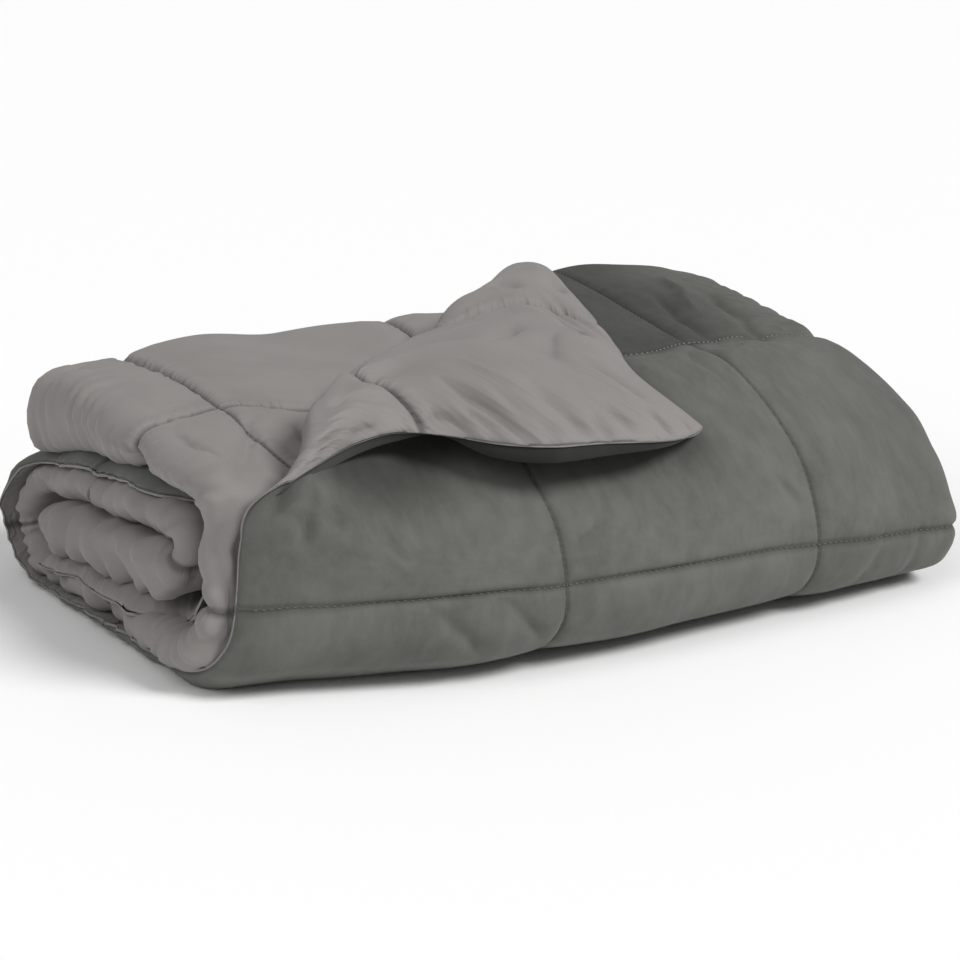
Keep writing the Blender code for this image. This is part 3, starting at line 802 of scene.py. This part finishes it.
# ------------------------------------------------------------- stitches
def stitch_points(line, side):
    """Six points of every thread grain along one stitch line: two ends and a ring."""
    from_s, from_v, to_s, to_v = line
    length = math.hypot(to_s - from_s, to_v - from_v)
    count = int(length / STITCH_PITCH)
    feet, ups = [], []
    for at in (-0.5, 0.0, 0.5):
        spot = (np.arange(count) + 0.5) / count + at * STITCH / length
        s, v = from_s + (to_s - from_s) * spot, from_v + (to_v - from_v) * spot
        low = face_height(s, v, side) + side * STITCH_LIFT
        foot = np.stack(place(s, v, low), axis=1)
        up = np.stack(place(s, v, low + side * UP_STEP), axis=1) - foot
        feet.append(foot)
        ups.append(up / np.linalg.norm(up, axis=1)[:, None])
    start, middle, end = feet
    up = ups[1] * STITCH_THICK
    across = np.cross((end - start) / np.linalg.norm(end - start, axis=1)[:, None], up)
    return np.stack([start, end, middle + across, middle + 1.5 * up, middle - across, middle - up], axis=1)


def stitch_mesh(name, lines, side):
    """Short thread grains along the stitch lines of one face."""
    points = np.concatenate([stitch_points(line, side) for line in lines])
    faces = []
    for start in range(0, 6 * len(points), 6):
        ring = [start + 2, start + 3, start + 4, start + 5]
        for a, b in zip(ring, ring[1:] + ring[:1]):
            faces += [(start, b, a), (start + 1, a, b)]
    mesh = bpy.data.meshes.new(name)
    mesh.from_pydata(points.reshape(-1, 3).tolist(), [], faces)
    mesh.validate()
    return mesh


def make_stitches(name, lines, side, colour):
    """The threads of some stitch lines, in one colour."""
    mesh = stitch_mesh(name, lines, side)
    material, _, shader = new_material(name)
    set_inputs(shader, {"Base Color": (*colour, 1.0), "Roughness": 0.7})
    mesh.materials.append(material)
    piece = bpy.data.objects.new(name, mesh)
    bpy.context.scene.collection.objects.link(piece)
    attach(piece, "root")


# ------------------------------------------------------------- materials
VELVET, COTTON = (0.110, 0.112, 0.101), (0.224, 0.211, 0.204)
THREAD_VELVET, THREAD_TOP = (0.120, 0.122, 0.111), (0.230, 0.228, 0.212)
THREAD_COTTON = (0.150, 0.140, 0.134)
SEAM_SHADE_VELVET, SEAM_SHADE_COTTON = 0.72, 0.50  # painted shade: the drawn-in seam itself is darker, by this share of the light left
# Painted shade: in places the velvet's colour is darkened where it lies in shade: the share of light left,
# and where
BACK_SHADE, BACK_SHADE_V = 0.46, (0.280, 0.340)  # painted shade on the row of boxes at the back, whose tops and lying pile catch little light
END_SHADE, END_SHADE_S = 0.98, (0.560, 0.715)  # the same painted shade, at its right end
HEM_SHADE, HEM_SHADE_S, HEM_SHADE_V = 0.46, (0.004, 0.060), (0.400, 0.440)  # painted shade on the velvet under the front hem of the flap, which faces down
UNDER_SHADOW, UNDER_SHADOW_V = 0.42, (0.395, 0.450)  # painted shadow on the velvet just under the flap
UNDER_SHADOW_LEFT, UNDER_SHADOW_RIGHT = (0.060, 0.130), (0.380, 0.470)
DRAG_S, DRAG_LONG = (0.010, 0.100), 0.22  # slanting drag lines by the front hem of the flap
SHEEN = {"Sheen Weight": 0.12, "Sheen Roughness": 0.5}


def new_material(name):
    """A material, its node tree and its shader."""
    material = bpy.data.materials.new(name)
    material.use_nodes = True
    tree = material.node_tree
    return material, tree, tree.nodes["Principled BSDF"]


def set_inputs(node, values):
    for name, value in values.items():
        node.inputs[name].default_value = value


def place_map(tree, name="flat"):
    """One of the maps of cloth_mesh, and its two lengths."""
    node = tree.nodes.new("ShaderNodeUVMap")
    node.uv_map = name
    split = tree.nodes.new("ShaderNodeSeparateXYZ")
    tree.links.new(node.outputs["UV"], split.inputs["Vector"])
    return node.outputs["UV"], split.outputs["X"], split.outputs["Y"]


def math_node(tree, operation, first, *others):
    """One operation over two or more values in turn."""
    total = first
    for other in others:
        node = tree.nodes.new("ShaderNodeMath")
        node.operation = operation
        tree.links.new(total, node.inputs[0])
        if isinstance(other, float):
            node.inputs[1].default_value = other
        else:
            tree.links.new(other, node.inputs[1])
        total = node.outputs["Value"]
    return total


def fade_node(tree, value, span, at_near, at_far):
    """A value that eases from one level to another over a span."""
    node = tree.nodes.new("ShaderNodeMapRange")
    node.interpolation_type = "SMOOTHSTEP"
    set_inputs(node, {"From Min": span[0], "From Max": span[1], "To Min": at_near, "To Max": at_far})
    tree.links.new(value, node.inputs["Value"])
    return node.outputs["Result"]


def seam_detail(tree, wave, darkest):
    """Fine gathers beside the stitches, and the painted shade of the seam itself."""
    gathers, dark = [], []
    for name, reach in (("seam_s", 0.0035), ("seam_v", 0.0050)):
        where, beside, _ = place_map(tree, name)
        fine = noise_node(tree, where, 1.0 / wave, detail=2.0, rough=0.55, stretch=(0.16, 1.0, 1.0))
        gathers.append(math_node(tree, "MULTIPLY", fine, fade_node(tree, beside, (0.003, 0.018), 1.0, 0.0)))
        # painted shade, deepest on the stitch line
        dark.append(fade_node(tree, beside, (0.0006, reach), darkest, 1.0))
    return math_node(tree, "ADD", *gathers), math_node(tree, "MULTIPLY", *dark)


def tint_node(tree, colour, factor):
    """A colour times a factor."""
    node = tree.nodes.new("ShaderNodeVectorMath")
    node.operation = "SCALE"
    tree.links.new(colour, node.inputs[0])
    tree.links.new(factor, node.inputs["Scale"])
    return node.outputs["Vector"]


def noise_node(tree, vector, scale, detail, rough, stretch=(1.0, 1.0, 1.0)):
    mapping = tree.nodes.new("ShaderNodeMapping")
    mapping.inputs["Scale"].default_value = stretch
    tree.links.new(vector, mapping.inputs["Vector"])
    node = tree.nodes.new("ShaderNodeTexNoise")
    set_inputs(node, {"Scale": scale, "Detail": detail, "Roughness": rough})
    tree.links.new(mapping.outputs["Vector"], node.inputs["Vector"])
    return node.outputs["Fac"]


def ramp_node(tree, factor, stops):
    node = tree.nodes.new("ShaderNodeValToRGB")
    ramp = node.color_ramp
    ramp.elements[0].position, ramp.elements[0].color = stops[0][0], (*stops[0][1], 1.0)
    ramp.elements[1].position, ramp.elements[1].color = stops[-1][0], (*stops[-1][1], 1.0)
    for position, colour in stops[1:-1]:
        ramp.elements.new(position).color = (*colour, 1.0)
    tree.links.new(factor, node.inputs["Fac"])
    return node.outputs["Color"]


def mix_node(tree, factor, first, second):
    node = tree.nodes.new("ShaderNodeMix")
    node.data_type = "FLOAT"
    node.inputs["Factor"].default_value = factor
    tree.links.new(first, node.inputs["A"])
    tree.links.new(second, node.inputs["B"])
    return node.outputs["Result"]


def bump_node(tree, height, strength, distance, under=None):
    node = tree.nodes.new("ShaderNodeBump")
    set_inputs(node, {"Strength": strength, "Distance": distance})
    if under is not None:
        tree.links.new(under, node.inputs["Normal"])
    tree.links.new(height, node.inputs["Height"])
    return node.outputs["Normal"]


def shade(colour, share):
    return tuple(c * share for c in colour)


def painted_shade_level(tree, s, v, patches):
    """Painted shade on the velvet: at the back, at the front hem of the flap and under it."""
    ragged = math_node(tree, "ADD", v, math_node(tree, "MULTIPLY", patches, 0.06))
    back = math_node(tree, "MAXIMUM", fade_node(tree, s, END_SHADE_S, BACK_SHADE, END_SHADE),
                     fade_node(tree, ragged, BACK_SHADE_V, 0.0, 1.0))
    hem = math_node(tree, "MAXIMUM", fade_node(tree, s, HEM_SHADE_S, HEM_SHADE, 1.0),
                    fade_node(tree, v, HEM_SHADE_V, 0.0, 1.0))
    ragged = math_node(tree, "ADD", v, math_node(tree, "MULTIPLY", patches, 0.03))
    under = math_node(tree, "MAXIMUM", fade_node(tree, ragged, UNDER_SHADOW_V, UNDER_SHADOW, 1.0),
                      fade_node(tree, s, UNDER_SHADOW_LEFT, 1.0, 0.0),
                      fade_node(tree, s, UNDER_SHADOW_RIGHT, 0.0, 1.0))
    return math_node(tree, "MULTIPLY", back, hem, under)


def velvet_material():
    material, tree, shader = new_material("velvet_face")
    where, s, v = place_map(tree)
    patches = noise_node(tree, where, 11.0, detail=4.0, rough=0.55)
    strokes = noise_node(tree, where, 70.0, detail=3.0, rough=0.65, stretch=(1.0, 0.65, 1.0))
    nap = mix_node(tree, 0.45, patches, strokes)
    colour = ramp_node(tree, nap, [(0.39, shade(VELVET, 0.86)), (0.50, VELVET), (0.61, shade(VELVET, 1.14))])
    gathers, dark = seam_detail(tree, 0.0085, SEAM_SHADE_VELVET)
    # the painted shade of the seams and of the shaded places darkens the colour
    level = math_node(tree, "MULTIPLY", dark, painted_shade_level(tree, s, v, patches))
    tree.links.new(tint_node(tree, colour, level), shader.inputs["Base Color"])
    pile = bump_node(tree, noise_node(tree, where, 900.0, detail=2.0, rough=0.6), 0.25, 0.0006)
    tree.links.new(bump_node(tree, gathers, 0.35, 0.0030, pile), shader.inputs["Normal"])
    set_inputs(shader, {"Roughness": 0.85, "Specular IOR Level": 0.15, **SHEEN})
    shader.inputs["Sheen Tint"].default_value = (0.80, 0.84, 0.79, 1.0)
    return material


def cotton_material():
    material, tree, shader = new_material("cotton_face")
    where, s, v = place_map(tree)
    gathers, dark = seam_detail(tree, 0.0075, SEAM_SHADE_COTTON)
    patches = noise_node(tree, where, 16.0, detail=3.0, rough=0.5)
    colour = ramp_node(tree, patches, [(0.35, shade(COTTON, 0.96)), (0.65, shade(COTTON, 1.04))])
    # the painted shade of the seams darkens the colour
    tree.links.new(tint_node(tree, colour, dark), shader.inputs["Base Color"])
    warp, weft = (noise_node(tree, where, 1500.0, detail=1.0, rough=0.5, stretch=stretch)
                  for stretch in ((1.0, 0.12, 1.0), (0.12, 1.0, 1.0)))
    weave = bump_node(tree, mix_node(tree, 0.5, warp, weft), 0.18, 0.0004)
    seams = bump_node(tree, gathers, 0.95, 0.0048, weave)
    slanted = tree.nodes.new("ShaderNodeCombineXYZ")
    tree.links.new(math_node(tree, "SUBTRACT", v, s), slanted.inputs["X"])
    along = math_node(tree, "MULTIPLY", math_node(tree, "ADD", v, s), DRAG_LONG)
    tree.links.new(along, slanted.inputs["Y"])
    drag = noise_node(tree, slanted.outputs["Vector"], 48.0, detail=2.0, rough=0.5)
    drag = math_node(tree, "MULTIPLY", drag, fade_node(tree, s, DRAG_S, 1.0, 0.0))
    tree.links.new(bump_node(tree, drag, 0.7, 0.010, seams), shader.inputs["Normal"])
    set_inputs(shader, {"Roughness": 0.80, "Specular IOR Level": 0.25, **SHEEN})
    return material


# ------------------------------------------------ camera, light and floor
CAMERA_AT = (-1.0349, -1.9240, 0.7529)
CAMERA_AZIMUTH, CAMERA_ELEVATION = -28.5, 16.5  # degrees
CAMERA_LENS, CAMERA_SENSOR = 90.0, 36.0  # millimetres
LIGHTS = (  # (name, where it stands, spread in degrees, watts per square metre)
    ("key", (1.3, -2.2, 2.4), 22.0, 2.45), ("fill", (-2.0, -0.9, 2.2), 50.0, 0.88),
)
SKY = 0.32
FLOOR_SIZE = 400.0


def make_camera():
    data = bpy.data.cameras.new("camera")
    data.lens, data.sensor_width = CAMERA_LENS, CAMERA_SENSOR
    camera = bpy.data.objects.new("camera", data)
    a, e = math.radians(CAMERA_AZIMUTH), math.radians(CAMERA_ELEVATION)
    back = Vector((math.sin(a) * math.cos(e), -math.cos(a) * math.cos(e), math.sin(e)))
    camera.location = CAMERA_AT
    camera.rotation_euler = (-back).to_track_quat("-Z", "Y").to_euler()
    bpy.context.scene.collection.objects.link(camera)
    bpy.context.scene.camera = camera


def make_light(name, at, spread, strength):
    """A wide, soft, even light from one side."""
    data = bpy.data.lights.new(name, "SUN")
    data.angle, data.energy = math.radians(spread), strength
    lamp = bpy.data.objects.new(name, data)
    lamp.location = at
    lamp.rotation_euler = (-Vector(at)).to_track_quat("-Z", "Y").to_euler()
    bpy.context.scene.collection.objects.link(lamp)


def make_studio():
    bpy.context.scene.view_settings.view_transform = "Standard"
    world = bpy.data.worlds.new("studio")
    world.use_nodes = True
    set_inputs(world.node_tree.nodes["Background"], {"Color": (1.0, 1.0, 1.0, 1.0), "Strength": SKY})
    bpy.context.scene.world = world
    for row in LIGHTS:
        make_light(*row)
    bpy.ops.mesh.primitive_plane_add(size=FLOOR_SIZE, location=(0.0, 0.0, 0.0))
    floor = bpy.context.object
    floor.name = "floor"
    material, _, shader = new_material("floor")
    set_inputs(shader, {"Base Color": (0.96, 0.96, 0.96, 1.0), "Roughness": 0.9})
    floor.data.materials.append(material)


make_camera()
make_studio()
FACES = (velvet_material(), cotton_material())
for row in PIECES:
    make_piece(FACES, *row)
make_stitches("thread_velvet", VELVET_LINES, 1.0, THREAD_VELVET)
make_stitches("thread_top", TOP_LINE, 1.0, THREAD_TOP)
make_stitches("thread_cotton", COTTON_LINES, -1.0, THREAD_COTTON)
